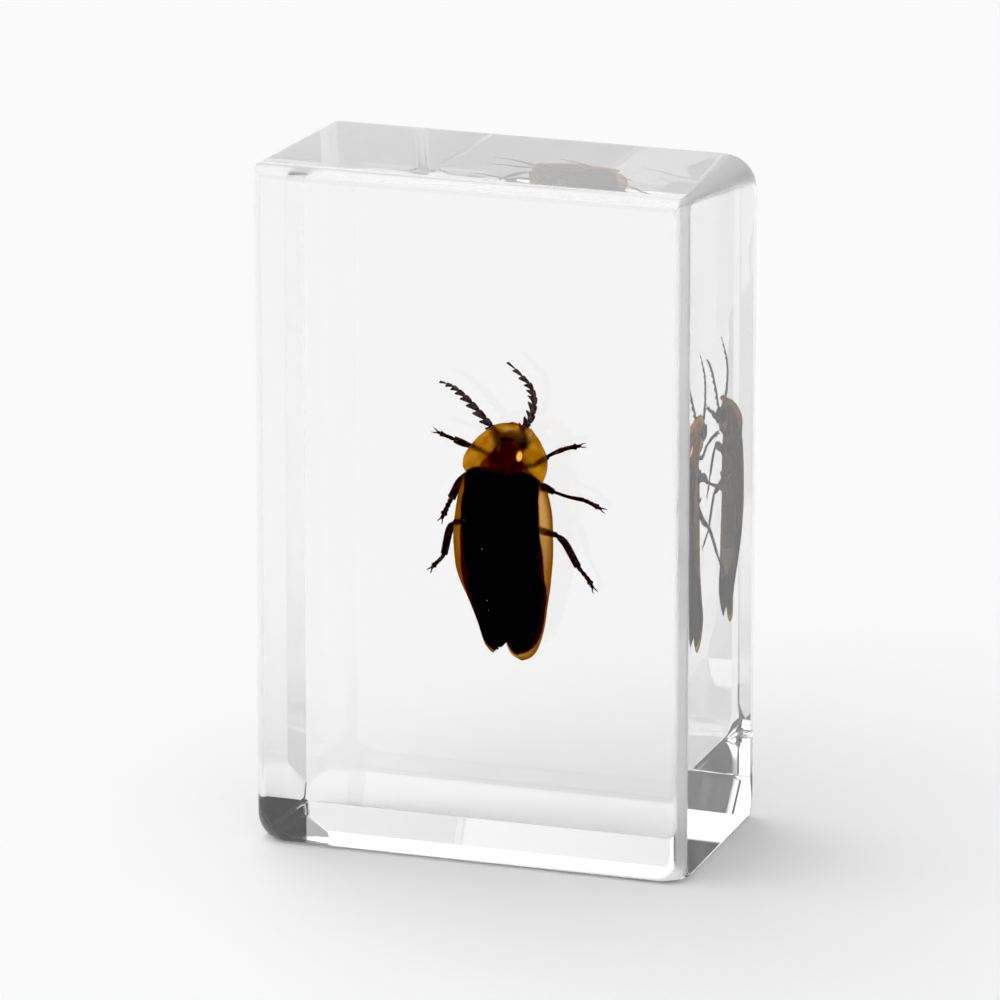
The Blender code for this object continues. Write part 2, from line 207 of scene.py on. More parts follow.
def rounded_block():
    """The block's outer form, with fine roundings and faces that stay optically flat."""
    sections, haze = [], []
    for edges, side in ((FRONT_EDGES, -1), (BACK_EDGES, 1)):
        profiles = {name: edge_profile(stretches) for name, stretches in edges.items()}
        depths = {name: run[-1] - run for name, (run, cut) in profiles.items()}
        corners = CORNER_STATIONS if side == -1 else []
        stops = sorted({round(float(depth), 4) for depth in np.concatenate([*depths.values(), corners])})
        for stop in stops[::-side]:
            cuts = {name: float(np.interp(stop, depths[name][::-1], profiles[name][1][::-1], right=0.0))
                    for name in edges}
            sections.append(block_section(side * (BLOCK_DEPTH / 2 - stop), cuts))
            reach = depths["right"].max() + HAZE_FADE if side == -1 else 0.0
            front = FRONT_HAZE * max(0.0, min(1.0, stop / HAZE_FADE, (reach - stop) / HAZE_FADE))
            top = np.sin(math.pi * np.arange(CORNER_STEPS + 1) / CORNER_STEPS) ** TOP_SPREAD
            top = np.minimum(1.0, top) * (TOP_HAZE if stop > 0 else 0.0)
            left = LEFT_SHARE * front * np.linspace(1, 0, len(top))
            haze += [[0.0] * len(top), [front] * len(top), np.maximum(top, front), left]
    mesh = joined("resin_block", [loft(sections, flat_ends=True)])
    keep_field(mesh, "haze", np.concatenate(haze))
    bm = bmesh.new()
    bm.from_mesh(mesh)
    for edge in bm.edges:
        edge.smooth = edge.calc_face_angle(0.0) < CREASE
    bm.to_mesh(mesh)
    bm.free()
    return mesh


resin = new_material("clear_resin", Base_Color=(1, 1, 1, 1), Roughness=0.0, IOR=RESIN_IOR,
                     Transmission_Weight=1.0)
resin_tree = resin.node_tree
absorption = add_node(resin_tree, "ShaderNodeVolumeAbsorption",
                      [("Color", RESIN_TINT), ("Density", RESIN_ABSORPTION)])
resin_tree.links.new(absorption.outputs["Volume"], resin_tree.nodes["Material Output"].inputs["Volume"])
haze = field(resin_tree, "haze")
feed(resin, "Roughness", math_node(resin_tree, "MULTIPLY", haze, HAZE_ROUGHNESS))
feed(resin, "Transmission Weight", math_node(resin_tree, "MULTIPLY_ADD", haze, -HAZE_WHITE))

block = finished("resin_block", rounded_block(), resin)
flats = block.modifiers.new("Flat faces", "WEIGHTED_NORMAL")
flats.mode = "FACE_AREA"
flats.weight = 100
flats.keep_sharp = True
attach(block, "root")
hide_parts("resin_front", "resin_back")


# -------- the body
# The firefly's trunk, its belly towards the back of the block: the thorax with the hips of its legs, and
# seven horny belly plates, each lapping over the next, the last two paler where the lamp sits. It is dark
# brown chitin, wetted through by the resin, so that it has almost no gloss of its own.
SPINE_X = 0.13
BODY_FRONT_Z, ABDOMEN_TIP_Z = 25.7, 14.4
# How deep in the block the rims of the wing cases and of the shield lie, by height
EDGE_DEPTH = [(10, 4.3), (11.3, 4.35), (13.3, 4.7), (15.2, 4.1), (17.2, 3.55), (19.5, 3.3),
              (24.2, 3.3), (25.2, 3.75), (26.0, 4.6), (26.5, 5.45), (27.5, 5.6)]
SHELL_THICKNESS = 0.22
WAIST, BELLY_PLATES, PLATE_STEP, PLATE_CURVE, LEAST_HALF = 0.43, 7, 0.09, 0.6, 0.02
FIRST_STATION, LAST_STATION, FORE_STATIONS, PLATE_STATIONS = 0.004, 0.996, 44, 12
KEEL_HEIGHT, KEEL_WIDTH = 0.06, 0.06
GUTTER_DEPTH, GUTTER_PLACE, GUTTER_WIDTH = 0.07, 0.82, 0.05
# The trunk's half width, and how far it reaches behind and before those rims, by the share of its length
BODY_WIDTH = [(0, 0.0), (0.02, 0.5), (0.07, 0.8), (0.14, 1.5), (0.25, 2.2), (0.4, 2.35), (0.63, 2.35),
              (0.82, 1.9), (0.94, 1.1), (1, 0.0)]
BODY_BELLY = [(0, 0.0), (0.02, 0.7), (0.07, 1.2), (0.18, 1.4), (0.38, 1.35), (0.52, 1.05), (0.82, 0.85),
              (1, 0.0)]
BODY_BACK = [(0, 0.0), (0.02, 0.25), (0.1, 0.45), (0.2, 0.55), (0.32, 0.95), (0.5, 0.85), (0.82, 0.65),
             (1, 0.0)]
CHITIN, CHITIN_PALE = (0.03, 0.014, 0.01, 1), (0.09, 0.045, 0.026, 1)
CHITIN_CLEAR = (0.36, 0.2, 0.12, 1)
CLEAR_FROM_Z, CLEAR_AT_Z, CLEARNESS = 23.2, 23.7, 0.9   # the fore body lets light through above these
LAMP, LAMP_RAGGED = (0.2, 0.15, 0.085, 1), 0.3
LAMP_FROM, LAMP_AT = 5.1, 5.25  # in plates: it starts on the sixth
# Each pair of hips: how far from the spine, how deep, how high, and the size across, in depth and along
HIPS = [(0.5, 4.75, 24.0, 0.34, 0.42, 0.5), (0.62, 4.85, 22.75, 0.42, 0.45, 0.5),
        (0.78, 4.7, 21.1, 0.66, 0.4, 0.36)]
HIP_OUT, HIP_BACK, HIP_LONG, HIP_SKEW = 0.35, 0.1, 0.8, 0.25    # a hip's lean, length and slant


def through(keys, at):
    """The value at each place of a smooth curve that passes through the (place, value) keys."""
    place, value = np.array(keys, float).T
    slope = np.diff(value) / np.diff(place)
    tangent = np.zeros(len(place))
    tangent[0], tangent[-1] = slope[0], slope[-1]
    for k in range(1, len(place) - 1):
        if slope[k - 1] * slope[k] > 0:
            tangent[k] = 2 * slope[k - 1] * slope[k] / (slope[k - 1] + slope[k])
    k = np.clip(np.searchsorted(place, at) - 1, 0, len(place) - 2)
    span = place[k + 1] - place[k]
    s = np.clip((at - place[k]) / span, 0, 1)
    return ((1 + 2 * s) * (1 - s) ** 2 * value[k] + s * (1 - s) ** 2 * span * tangent[k]
            + s * s * (3 - 2 * s) * value[k + 1] + s * s * (s - 1) * span * tangent[k + 1])


def body_rings():
    """The trunk's outline at many heights, with a fine step at the end of each belly plate."""
    rings, plates = [], []
    around = 72
    stations = list(np.linspace(FIRST_STATION, WAIST, FORE_STATIONS, endpoint=False))
    for plate in range(BELLY_PLATES):
        start = WAIST + (LAST_STATION - WAIST) * plate / BELLY_PLATES
        length = (LAST_STATION - WAIST) / BELLY_PLATES
        stations += [start + length * share for share in np.linspace(0.02, 0.97, PLATE_STATIONS)]
    for t in stations:
        z = BODY_FRONT_Z + (ABDOMEN_TIP_Z - BODY_FRONT_Z) * t
        plate = (t - WAIST) / (1 - WAIST) * BELLY_PLATES
        step = PLATE_STEP * (plate % 1.0) ** PLATE_CURVE if t >= WAIST else 0.0
        ring = []
        for k in range(around):
            turn = 2 * math.pi * k / around
            across, out = math.cos(turn), math.sin(turn)
            wide = max(LEAST_HALF, through(BODY_WIDTH, t) + step)
            deep = max(LEAST_HALF, through(BODY_BELLY, t) + step if out > 0 else through(BODY_BACK, t))
            keel = gutter = 0.0
            if out > 0 and t < WAIST:
                keel = KEEL_HEIGHT * math.exp(-(across / KEEL_WIDTH) ** 2)
            if out > 0 and t > WAIST:
                gutter = GUTTER_DEPTH * math.exp(-((abs(across) - GUTTER_PLACE) / GUTTER_WIDTH) ** 2)
            ring.append((SPINE_X + wide * across, through(EDGE_DEPTH, z) + SHELL_THICKNESS / 2
                         + (deep - keel - gutter) * out, z))
        rings.append(ring)
        plates.append(max(0.0, plate))
    return rings, plates


def rounded(middle, sizes, rows=16, around=24, shape=None):
    """An egg-like body, its poles up and down, each point passed through a shape of its own."""
    rings = []
    for row in range(rows):
        polar = math.pi * (row + 0.5) / rows
        ring = []
        for k in range(around):
            turn = 2 * math.pi * k / around
            spot = (math.sin(polar) * math.cos(turn), math.sin(polar) * math.sin(turn), math.cos(polar))
            if shape:
                spot = shape(*spot)
            ring.append(tuple(centre + size * part for centre, size, part in zip(middle, sizes, spot)))
        rings.append(ring)
    return loft(rings)


def hip(side, spread, depth, height, wide, deep, long):
    """One hip: an oval boss that leans out and back, with the leg's root at its end."""
    def leaning(x, y, z):
        return x + HIP_OUT * z, y + HIP_BACK / deep * z, HIP_LONG * z + HIP_SKEW * x

    return rounded((SPINE_X + side * spread, depth, height), (side * wide, deep, long), 14, 20, leaning)


def cuticle(name, transmission=0.0, roughness=0.45, ior=1.12):
    """A wetted chitin material: no gloss worth the name, light passing where the shell is thin."""
    return new_material(name, Roughness=roughness, IOR=ior, Transmission_Weight=transmission)


def step_between(tree, value, start, end):
    """A soft step from 0 to 1 as the value goes from start to end."""
    return add_node(tree, "ShaderNodeMapRange",
                    [("Value", value), ("From Min", start), ("From Max", end)],
                    interpolation_type="SMOOTHSTEP").outputs["Result"]


def blended(tree, share, low, high):
    """A colour between two others, by a share."""
    return add_node(tree, "ShaderNodeMix", [(0, share), (6, low), (7, high)],
                    data_type="RGBA").outputs[2]


def place_on(tree):
    """Where a point of the piece is, in its own coordinates."""
    return add_node(tree, "ShaderNodeTexCoord").outputs["Object"]


def noise(tree, scale):
    """Cloudy noise over the piece, scale in cells for each millimetre."""
    return add_node(tree, "ShaderNodeTexNoise", [
        ("Vector", place_on(tree)), ("Scale", scale / MM), ("Detail", 4.0)]).outputs["Fac"]


def paint(material, colour, bump_from=None, bump_depth=0.02):
    """Link a colour, and a fine relief in millimetres, to a material's shader."""
    feed(material, "Base Color", colour)
    if bump_from is not None:
        feed(material, "Normal", add_node(material.node_tree, "ShaderNodeBump", [
            ("Height", bump_from), ("Distance", bump_depth * MM)]).outputs["Normal"])


def body_finish():
    """Dark clouded chitin, its last plates paler for the lamp, and its fore end letting light through."""
    made = cuticle("belly_chitin")
    tree = made.node_tree
    clouds = noise(tree, 1.6)
    grain = noise(tree, 14.0)
    shade = blended(tree, step_between(tree, clouds, 0.4, 0.75), CHITIN, CHITIN_PALE)
    ragged = math_node(tree, "MULTIPLY", clouds, LAMP_RAGGED)
    lamp_share = step_between(tree, math_node(tree, "ADD", field(tree, "plate"), ragged), LAMP_FROM, LAMP_AT)
    height = add_node(tree, "ShaderNodeSeparateXYZ", [(0, place_on(tree))]).outputs["Z"]
    clear = step_between(tree, height, CLEAR_FROM_Z * MM, CLEAR_AT_Z * MM)
    colour = blended(tree, clear, blended(tree, lamp_share, shade, LAMP), CHITIN_CLEAR)
    paint(made, colour, grain)
    feed(made, "Transmission Weight", math_node(tree, "MULTIPLY", clear, CLEARNESS))
    return made


rings, plates = body_rings()
hips = [hip(side, *sizes) for sizes in HIPS for side in (-1, 1)]
trunk = joined("trunk", [loft(rings)] + hips)
around = len(rings[0])
plate_field = np.zeros(len(trunk.vertices))
plate_field[:len(rings) * around] = np.repeat(plates, around)
keep_field(trunk, "plate", plate_field)
body = finished("firefly_body", trunk, body_finish())
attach(body, "root")
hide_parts("firefly")


# -------- the wing cases
# Two leathery wing cases, hinged at the shoulders, black and opaque over the body, with see-through amber
# rims that flare out beyond it and run thin towards the tips. Three faint ribs run along each, the seam is
# a little sunk, and the tip of the left one is broken away in a ragged bite.
RIGHT_SHOULDER_Z, LEFT_SHOULDER_Z, RIGHT_TIP_Z, LEFT_TIP_Z = 23.86, 23.97, 11.3, 11.6
CROWN_HEIGHT, CROWN_CURVE, BLUNT_END = 1.15, 2.6, 0.03
SHOULDER_RISE, TIP_FALL = (0.035, 0.5), (0.55, 0.8)     # each by a share of its length and a power
EDGE_LIP, LIP_FROM, LIP_WIDTH, SEAM_DIP, SEAM_WIDTH = 0.1, 0.8, 0.2, 0.12, 0.12
# Each wing case's outer rim and its seam across the block, by the share of its length
RIGHT_OUTER = [(0, 1.35), (0.004, 1.8), (0.012, 2.12), (0.04, 2.58), (0.1, 3.12), (0.25, 3.44), (0.38, 3.47),
               (0.55, 3.28), (0.7, 2.93), (0.84, 2.56), (0.92, 2.28), (0.965, 1.97), (0.988, 1.6), (1, 1.2)]
RIGHT_INNER = [(0, 1.35), (0.004, 0.95), (0.012, 0.66), (0.03, 0.33), (0.07, 0.03), (0.1, -0.02), (0.7, 0.0),
               (0.8, 0.03), (0.885, 0.05), (0.93, 0.18), (0.97, 0.44), (0.99, 0.8), (1, 1.2)]
LEFT_OUTER = [(0, -1.3), (0.004, -1.7), (0.012, -1.98), (0.05, -2.4), (0.2, -2.92), (0.37, -3.15),
              (0.52, -3.07), (0.6, -2.87), (0.72, -2.32), (0.86, -1.78), (0.95, -1.35), (0.985, -1.0),
              (1, -0.72)]
LEFT_INNER = [(0, -1.3), (0.004, -0.9), (0.012, -0.66), (0.04, -0.38), (0.08, -0.16), (0.13, 0.1),
              (0.7, 0.12), (0.8, 0.14), (0.895, 0.16), (0.93, 0.12), (0.95, 0.0), (0.965, -0.25),
              (0.98, -0.42), (1, -0.72)]
# How wide the amber rim is, how far in the brown behind it turns black, and how light it is, by height
RIGHT_AMBER = [(11.3, 0.5), (12.0, 0.36), (12.5, 0.2), (13.5, 0.1), (15.4, 0.1), (16.2, 0.2), (17, 0.39),
               (18.6, 0.6), (20.5, 0.84), (22.1, 0.68), (22.8, 0.35), (23.2, 0.1), (23.8, -0.1)]
RIGHT_BROWN = [(11.3, 0.62), (12.5, 0.48), (13.5, 0.4), (15.4, 0.36), (16.6, 0.5), (17.4, 0.75),
               (18.9, 0.96), (20.5, 0.95), (21.6, 0.78), (22.5, 0.6), (23.1, 0.2), (23.8, -0.05)]
RIGHT_TONE = [(11.3, 0.7), (12.2, 0.35), (14, 0.08), (16.5, 0.3), (19, 0.55), (21, 0.9), (23.7, 0.9)]
LEFT_AMBER = [(11.6, 0.22), (12.2, 0.08), (13, -0.02), (14.6, -0.02), (15.6, 0.08), (16.9, 0.32),
              (18.7, 0.5), (20, 0.5), (21.6, 0.3), (22.4, 0.28), (23.1, 0.1), (23.9, -0.1)]
LEFT_BROWN = [(11.6, 0.35), (12.6, 0.1), (14, 0.08), (15.6, 0.3), (16.9, 0.78), (18.8, 0.82), (20, 0.62),
              (21.6, 0.36), (22.4, 0.33), (23.1, 0.15), (23.9, -0.05)]
LEFT_TONE = [(11.6, 0.6), (12.3, 0.1), (13, -0.1), (15, -0.1), (17, 0.0), (19.5, 0.2), (21.5, 0.1),
             (23.9, 0.1)]
RIB_PLACES, RIB_WIDTH, RIB_HEIGHT, WRINKLE = (0.3, 0.52, 0.73), 0.028, 0.035, 0.012
CASE_SHARE, THIN_WITHIN, THIN_SHARE = 0.55, 0.12, 0.3   # of the shell's thickness, and thinner at its rim
BITE_FROM_Z, BITE_FADE, BITE_WIDTH, BITE_DEPTH = 12.25, 0.6, 1.6, 0.3
BITE_RAGS = [(0.1, 31), (0.07, 67)]             # how deep its ragged waves are, and how close
SEAM_SHY = 0.25                 # how much less the colours of the rim follow the tip's inner edge
AMBER, AMBER_DEEP = (0.82, 0.47, 0.15, 1), (0.29, 0.1, 0.01, 1)
BROWN, BLACK = (0.035, 0.006, 0.003, 1), (0.0002, 0.0001, 0.0001, 1)
CASE_CLEARNESS, WANDER, GRAIN_WANDER = 0.85, 0.35, 0.12


def sheet(name, front, thickness, fields):
    """A thin closed sheet behind a grid of points, its fields kept for the material."""
    across, along = np.gradient(front, axis=1), np.gradient(front, axis=0)
    normal = np.cross(across, along)
    size = np.linalg.norm(normal, axis=2, keepdims=True)
    normal = np.where(size > 1e-7, normal / np.maximum(size, 1e-7), (0.0, 1.0, 0.0))
    normal *= np.where(normal[..., 1:2] < 0, -1, 1)
    rows, columns = front.shape[:2]
    points = np.concatenate([front.reshape(-1, 3), (front + normal * thickness[..., None]).reshape(-1, 3)])
    half = rows * columns
    grid = np.arange(half).reshape(rows, columns)
    faces = []
    for row in range(rows - 1):
        for column in range(columns - 1):
            quad = (*grid[row, column:column + 2], *grid[row + 1, column:column + 2][::-1])
            faces += [tuple(map(int, quad)), tuple(int(corner + half) for corner in quad[::-1])]
    rim = [*grid[0, :-1], *grid[:-1, -1], *grid[-1, :0:-1], *grid[:0:-1, 0]]
    for here, beside in zip(rim, rim[1:] + rim[:1]):
        faces.append(tuple(map(int, (beside, here, here + half, beside + half))))
    mesh = bpy.data.meshes.new(name)
    mesh.from_pydata(points.tolist(), [], faces)
    for label, values in fields.items():
        keep_field(mesh, label, np.concatenate([values.ravel(), values.ravel()]))
    bm = bmesh.new()
    bm.from_mesh(mesh)
    if bm.calc_volume(signed=True) < 0:
        bmesh.ops.reverse_faces(bm, faces=bm.faces)
    bm.to_mesh(mesh)
    bm.free()
    mesh.shade_smooth()
    return mesh


def wing_case(name, torn, outer, inner, shoulder_z, tip_z, amber_width, brown_width, tone):
    """One wing case: a bulged sheet from its flared rim to the sunk seam, with or without a torn tip."""
    columns, rows = 72, 150
    u, v = np.meshgrid(np.linspace(0, 1, columns), np.linspace(0, 1, rows))
    t = 0.5 - 0.5 * np.cos(math.pi * v)
    z = shoulder_z + (tip_z - shoulder_z) * t
    outside, inside = through(outer, t), through(inner, t)
    outward = math.copysign(1, outer[0][1])
    x = inside + outward * np.maximum(np.abs(outside - inside), BLUNT_END) * u
    ends = (np.minimum(1.0, t / SHOULDER_RISE[0]) ** SHOULDER_RISE[1]
            * np.minimum(1.0, (1 - t) / TIP_FALL[0]) ** TIP_FALL[1])
    bulge = CROWN_HEIGHT * ends * (1 - u ** CROWN_CURVE)
    lip = EDGE_LIP * ends * np.maximum(0.0, u - LIP_FROM) / LIP_WIDTH
    dip = SEAM_DIP * np.maximum(0.0, 1 - u / SEAM_WIDTH)
    ribs = sum(np.exp(-((u - place) / RIB_WIDTH) ** 2) for place in RIB_PLACES) * RIB_HEIGHT * ends
    wrinkles = WRINKLE * ends * np.sin(9 * z + 14 * u) * np.sin(23 * u + 3.1 * z)
    y = through(EDGE_DEPTH, z) - bulge - lip + dip - ribs + wrinkles
    rim_t, seam_t = np.linspace(0, 1, 400), np.linspace(0.82, 1, 80)
    rim_gap, seam_gap = [
        np.min(np.hypot(x[..., None] - through(curve, at), z[..., None] - shoulder_z
                        - (tip_z - shoulder_z) * at), axis=2)
        for curve, at in ((outer, rim_t), (inner, seam_t))]
    if torn:
        bite = np.clip((BITE_FROM_Z - z) / BITE_FADE, 0, 1) * np.clip(1 - u * BITE_WIDTH, 0, 1)
        z = z + bite * sum((deep * np.sin(rate * x) for deep, rate in BITE_RAGS), BITE_DEPTH)
    thickness = SHELL_THICKNESS * CASE_SHARE * np.clip(rim_gap / THIN_WITHIN, THIN_SHARE, 1)
    gap = np.minimum(rim_gap, seam_gap + SEAM_SHY)
    return sheet(name, np.stack([x, y, z], axis=2), thickness,
                 {"amber": through(amber_width, z) - gap, "brown": through(brown_width, z) - gap,
                  "rim": rim_gap, "tone": through(tone, z)})


def swing(tree, cloudy, width):
    """Noise made a swing to either side, this wide."""
    return math_node(tree, "MULTIPLY", math_node(tree, "SUBTRACT", cloudy, 0.5), width)


def wing_case_finish(name):
    """Amber rim, brown band and black heart, their borders wandering a little, over a leathery grain."""
    made = cuticle(name, roughness=0.5, ior=1.04)
    made.node_tree.nodes["Principled BSDF"].inputs["Specular IOR Level"].default_value = 0.0
    tree = made.node_tree
    clouds, grain = noise(tree, 1.1), noise(tree, 9.0)
    wander, fine = swing(tree, clouds, WANDER), swing(tree, grain, GRAIN_WANDER)
    amber_edge = math_node(tree, "ADD", field(tree, "amber"), fine)
    brown_edge = math_node(tree, "ADD", math_node(tree, "ADD", field(tree, "brown"), wander), fine)
    glow = math_node(tree, "MULTIPLY", step_between(tree, field(tree, "rim"), 0.0, 0.5),
                     field(tree, "tone"))
    streaks = math_node(tree, "MULTIPLY", glow, math_node(tree, "ADD", 0.55, grain))
    amber = blended(tree, streaks, AMBER_DEEP, AMBER)
    thin = step_between(tree, brown_edge, -0.12, 0.1)
    dark = blended(tree, thin, BLACK, BROWN)
    paint(made, blended(tree, step_between(tree, amber_edge, -0.07, 0.07), dark, amber), clouds, 0.02)
    feed(made, "Transmission Weight", math_node(tree, "MULTIPLY", thin, CASE_CLEARNESS))
    return made


cases = []
for name, *measures in (
        ("right_wing_case", False, RIGHT_OUTER, RIGHT_INNER, RIGHT_SHOULDER_Z, RIGHT_TIP_Z, RIGHT_AMBER,
         RIGHT_BROWN, RIGHT_TONE),
        ("left_wing_case", True, LEFT_OUTER, LEFT_INNER, LEFT_SHOULDER_Z, LEFT_TIP_Z, LEFT_AMBER,
         LEFT_BROWN, LEFT_TONE)):
    case = finished(name, wing_case(name, *measures), wing_case_finish(name + "_chitin"))
    cases.append(case)
    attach(case, "root")
    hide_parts("firefly")


# -------- the shield
# The half-round shield that hides the head: amber and see-through, with a raised rim, a dark heart where
# the body lies behind it, and small clear windows in front. Beside the heart a small spot is painted
# bright orange and made to glow of itself: a painted glint.
SHIELD_FRONT_Z, SHIELD_LEFT_Z, SHIELD_RIGHT_Z, BASE_SAG = 26.58, 23.5, 23.05, 0.6
# Its left and right edges across the block, by the share of the way from its base to its front
SHIELD_LEFT = [(0, -2.1), (0.02, -2.33), (0.136, -2.54), (0.3, -2.49), (0.51, -2.18), (0.685, -1.79),
               (0.8, -1.42), (0.93, -0.84), (0.985, -0.2), (1, 0.3)]
SHIELD_RIGHT = [(0, 2.35), (0.037, 2.66), (0.138, 2.87), (0.293, 3.03), (0.4, 3.06), (0.5, 3.0),
                (0.704, 2.56), (0.902, 1.75), (0.975, 1.05), (1, 0.3)]
DOME_ACROSS, DOME_ALONG, BASE_TUCK, TUCK_REACH = 2.2, 0.7, 0.12, 0.4
BEAD_HEIGHT, BEAD_PLACE, BEAD_WIDTH = 0.05, 0.09, 0.07
GROOVE_DEPTH, GROOVE_WIDTH = 0.05, 0.035
SHIELD_SHARE, SHIELD_THIN_WITHIN, SHIELD_THIN_SHARE = 0.7, 0.15, 0.4
SHIELD_AMBER, SHIELD_GOLD = (0.42, 0.155, 0.015, 1), (0.66, 0.3, 0.025, 1)
HEART, WINDOW_CLEAR, PAINTED_GLINT_COLOUR = (0.2, 0.07, 0.03, 1), (0.85, 0.55, 0.24, 1), (1.0, 0.46, 0.08, 1)
# how strongly the painted glint glows of itself, though it is no lamp
PAINTED_GLINT_GLOW = 0.6
# Its dark heart, its clear places and its painted glint, as x, z, half width and half height
HEART_SPOT = (0.42, 24.15, 1.42, 1.75)
SHIELD_WINDOWS = [(0.2, 26.2, 0.42, 0.2), (1.62, 25.95, 0.24, 0.36), (-1.95, 23.78, 0.34, 0.11)]
PAINTED_GLINT_SPOTS = [(1.26, 24.9, 0.22, 0.34)]
FAINT_FLECKS = [(-0.15, 25.2, 0.2, 0.3)]
# Where the eyes and the mouth show through it, dark
SHADES, SHADE = [(1.4, 25.5, 0.36, 0.26), (0.3, 25.75, 0.75, 0.2)], (0.04, 0.017, 0.006, 1)


def oval_gap(x, z, ovals):
    """How far inside the nearest oval a point is: 1 at its middle, 0 on its edge, below 0 outside."""
    return np.max([1 - np.hypot((x - at_x) / wide, (z - at_z) / high) for at_x, at_z, wide, high in ovals],
                  axis=0)


def shield():
    """The shield's domed sheet, tucked down at its base, with its beaded rim and the groove on its middle."""
    columns, rows = 110, 80
    u, v = np.meshgrid(np.linspace(0, 1, columns), np.linspace(0, 1, rows))
    t, side = np.sin(0.5 * math.pi * v), 2 * u - 1
    base = SHIELD_LEFT_Z + (SHIELD_RIGHT_Z - SHIELD_LEFT_Z) * u - BASE_SAG * (1 - side ** 2)
    z = base + (SHIELD_FRONT_Z - base) * t
    wide = np.maximum(through(SHIELD_RIGHT, t) - through(SHIELD_LEFT, t), BLUNT_END)
    x = through(SHIELD_LEFT, t) + wide * u
    rise = np.minimum(1.0, t / TUCK_REACH)
    tuck = BASE_TUCK + (1 - BASE_TUCK) * rise * rise * (3 - 2 * rise)
    dome = CROWN_HEIGHT * tuck * (1 - np.abs(side) ** DOME_ACROSS) * (1 - t) ** DOME_ALONG
    rim_gap = 0.5 * wide * (1 - np.abs(side)) * np.minimum(1, 0.4 + 1.6 * (1 - t))
    bead = BEAD_HEIGHT * np.exp(-((rim_gap - BEAD_PLACE) / BEAD_WIDTH) ** 2)
    groove = GROOVE_DEPTH * np.exp(-(side / GROOVE_WIDTH) ** 2) * (1 - t) * (t > 0.05)
    y = through(EDGE_DEPTH, z) - dome - bead + groove
    fields = {"heart": oval_gap(x, z, [HEART_SPOT]), "window": oval_gap(x, z, SHIELD_WINDOWS),
              "painted_glint": oval_gap(x, z, PAINTED_GLINT_SPOTS), "faint": oval_gap(x, z, FAINT_FLECKS),
              "shade": oval_gap(x, z, SHADES)}
    thickness = SHELL_THICKNESS * SHIELD_SHARE * np.clip(rim_gap / SHIELD_THIN_WITHIN, SHIELD_THIN_SHARE, 1)
    return sheet("shield", np.stack([x, y, z], axis=2), thickness, fields)


def shield_finish():
    """Clouded amber round a ragged dark heart, with the clear, faint and shaded spots, and a painted glint.
    """
    made = cuticle("shield_amber", transmission=0.88)
    tree = made.node_tree
    clouds, grain = noise(tree, 1.3), noise(tree, 7.0)
    ragged = swing(tree, clouds, 0.5)
    amber = blended(tree, step_between(tree, clouds, 0.32, 0.66), SHIELD_AMBER, SHIELD_GOLD)
    heart = step_between(tree, math_node(tree, "ADD", field(tree, "heart"), ragged), -0.28, 0.4)
    colour = blended(tree, heart, amber, HEART)
    for label, edge, middle, strength, tint in (("window", -0.1, 0.9, 0.6, WINDOW_CLEAR),
                                                ("faint", 0.0, 0.8, 0.35, SHIELD_GOLD),
                                                ("shade", 0.0, 0.7, 0.75, SHADE)):
        spot = step_between(tree, field(tree, label), edge, middle)
        colour = blended(tree, math_node(tree, "MULTIPLY", spot, strength), colour, tint)
    # The painted glint: a small spot given bright orange colour and a glow of its own
    painted_glint = step_between(tree, field(tree, "painted_glint"), -0.05, 0.45)
    paint(made, blended(tree, painted_glint, colour, PAINTED_GLINT_COLOUR), grain, 0.012)
    tree.nodes["Principled BSDF"].inputs["Emission Color"].default_value = PAINTED_GLINT_COLOUR
    feed(made, "Emission Strength", math_node(tree, "MULTIPLY", painted_glint, PAINTED_GLINT_GLOW))
    return made


cover = finished("shield", shield(), shield_finish())
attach(cover, "root")
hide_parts("firefly")


# -------- the scutellum
# The small three-cornered plate of dark horn in the notch between the shoulders of the wing cases, a
# little domed, its point running down on to the seam.
SCUTELLUM_MIDDLE, SCUTELLUM_SIZES = (0.02, 2.9, 23.12), (0.4, 0.16, 0.42)
SCUTELLUM_DARK, SCUTELLUM_BROWN = (0.03, 0.009, 0.006, 1), (0.075, 0.022, 0.014, 1)


def clouded(name, clouds, grain, low, high, **shell):
    """A chitin material clouded from one colour to another, with a fine grain."""
    made = cuticle(name, **shell)
    tree = made.node_tree
    paint(made, blended(tree, noise(tree, clouds), low, high), noise(tree, grain))
    return made


turns, rows = 2 * math.pi * np.arange(32) / 32, np.linspace(-0.97, 0.97, 22)
plate_rings = [[(SCUTELLUM_MIDDLE[0] + SCUTELLUM_SIZES[0] * (0.15 + 0.85 * (row + 1) / 2)
                 * math.sqrt(1 - row ** 6) * math.cos(turn),
                 SCUTELLUM_MIDDLE[1] + SCUTELLUM_SIZES[1] * math.sqrt(1 - row ** 4) * math.sin(turn),
                 SCUTELLUM_MIDDLE[2] + SCUTELLUM_SIZES[2] * row) for turn in turns] for row in rows]
plate_finish = clouded("scutellum_chitin", 3.0, 11.0, SCUTELLUM_DARK, SCUTELLUM_BROWN, ior=1.06)
scutellum = finished("scutellum", joined("scutellum", [loft(plate_rings)]), plate_finish)
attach(scutellum, "root")
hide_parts("firefly")


# -------- the head
# The small head tucked under the shield, which it shows through: a brown skull between two large black
# eyes of fine facets, with a pair of jaws and a pair of jointed feelers at the mouth.
HEAD_X, HEAD_DEPTH, HEAD_Z, HEAD_SIZES = 0.19, 5.4, 25.1, (0.86, 0.72, 0.98)
